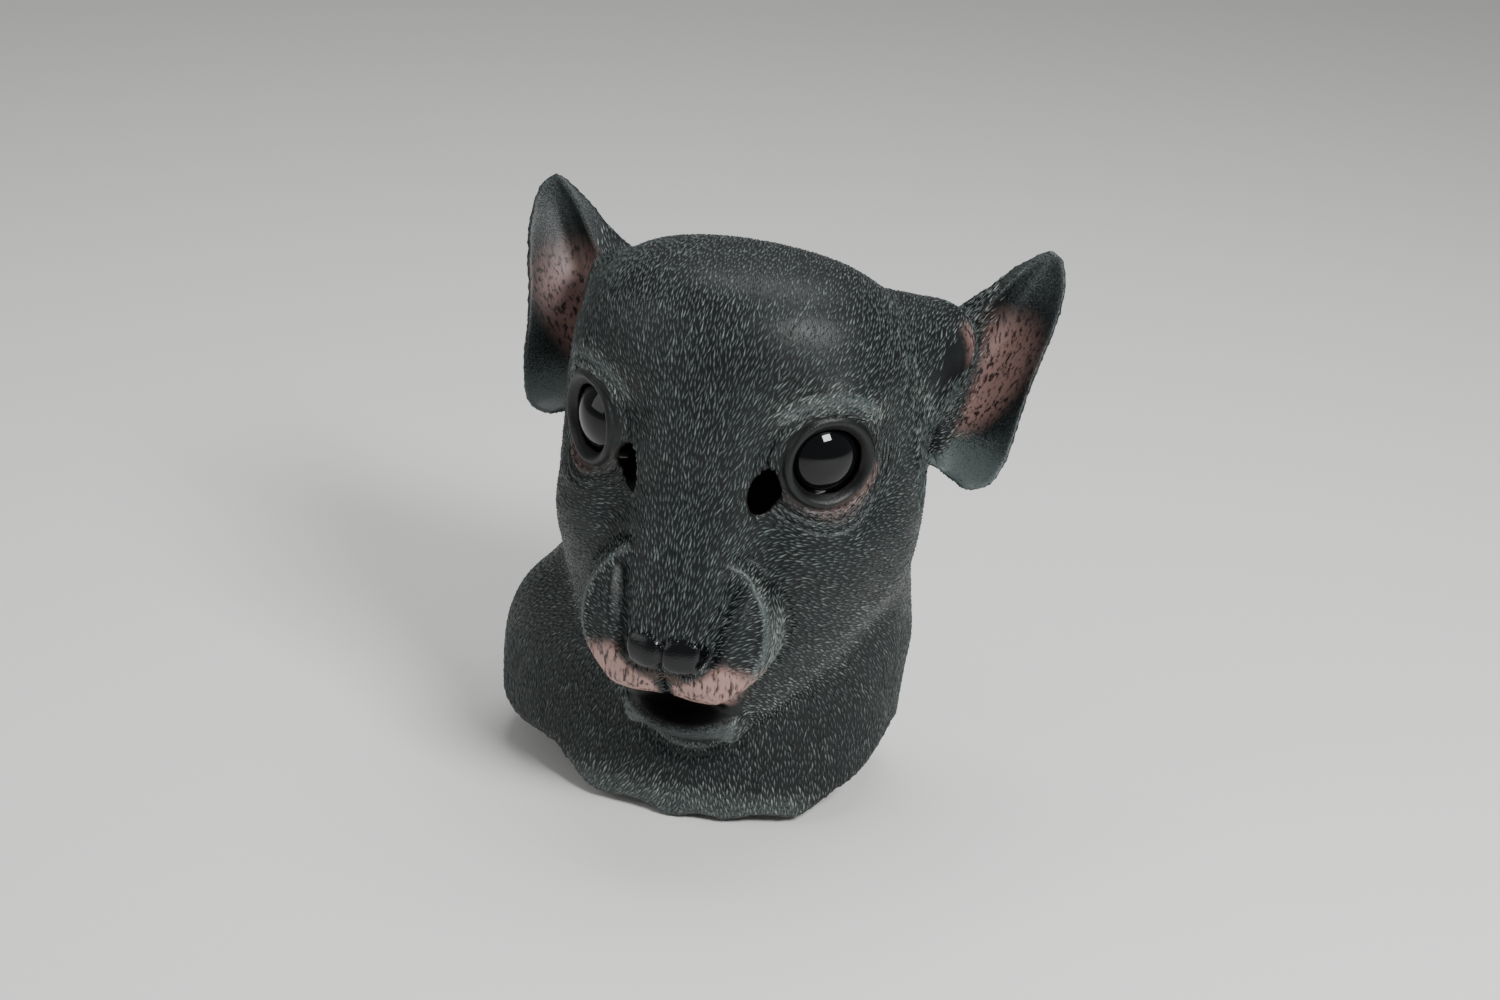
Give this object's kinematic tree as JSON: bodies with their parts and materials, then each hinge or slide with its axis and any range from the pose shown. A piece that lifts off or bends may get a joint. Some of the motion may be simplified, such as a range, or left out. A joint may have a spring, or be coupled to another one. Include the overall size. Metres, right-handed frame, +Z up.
{
  "type": "full-head costume mask",
  "caption": "Hollow full-head rat mask moulded in soft dark latex, with upright cupped ears, a broad muzzle, glossy domed eyes, small peepholes and a flared wavy-edged neck bib.",
  "frame": {"origin": "inside of the crown, at the point where the top of the wearer's head carries the latex", "axes": "+Z up through the crown, -Y the way the rat looks, +X the mask's own left"},
  "size_m": [0.3334, 0.229, 0.3372],
  "materials": {
    "dark_latex": "moulded latex with dry-brushed fur strokes, soft satin",
    "black_eye": "high-gloss black dome"
  },
  "bodies": {
    "root": {"latex_skin": "dark_latex", "eye_left": "black_eye", "eye_right": "black_eye"}
  },
  "joints": []
}
